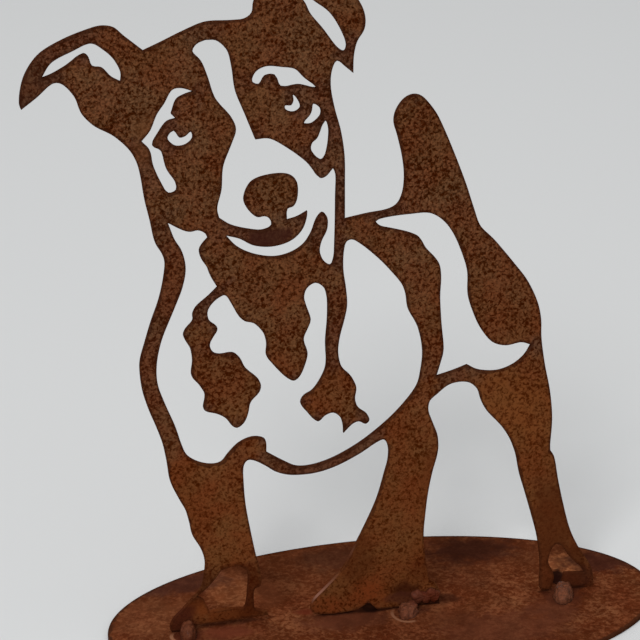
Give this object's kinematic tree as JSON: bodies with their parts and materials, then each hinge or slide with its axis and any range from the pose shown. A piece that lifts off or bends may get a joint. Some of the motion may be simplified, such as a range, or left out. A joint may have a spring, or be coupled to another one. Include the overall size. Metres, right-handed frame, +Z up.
{
  "type": "dog garden statue",
  "caption": "Flat silhouette of a standing dog, cut through at its pale markings, on edge on an oval base plate: a free-standing garden ornament in rusted steel sheet.",
  "frame": {"origin": "middle of the base plate's underside", "axes": "+Z up, +X along the base plate's long axis towards the tail, -Y the side of the weld beads, seen from the front"},
  "size_m": [0.277, 0.13, 0.2993],
  "materials": {
    "rusted_plate": "weathered, mottled dark-brown rust, matt",
    "rusted_base": "weathered, patchy red-brown rust, matt",
    "weld_metal": "as-welded bead, grey-brown, slightly shiny"
  },
  "bodies": {
    "root": {"base_plate": "rusted_base", "dog_plate": "rusted_plate", "weld_left_paw": "weld_metal", "weld_middle_paw": "weld_metal", "weld_hind_paw": "weld_metal"}
  },
  "joints": []
}
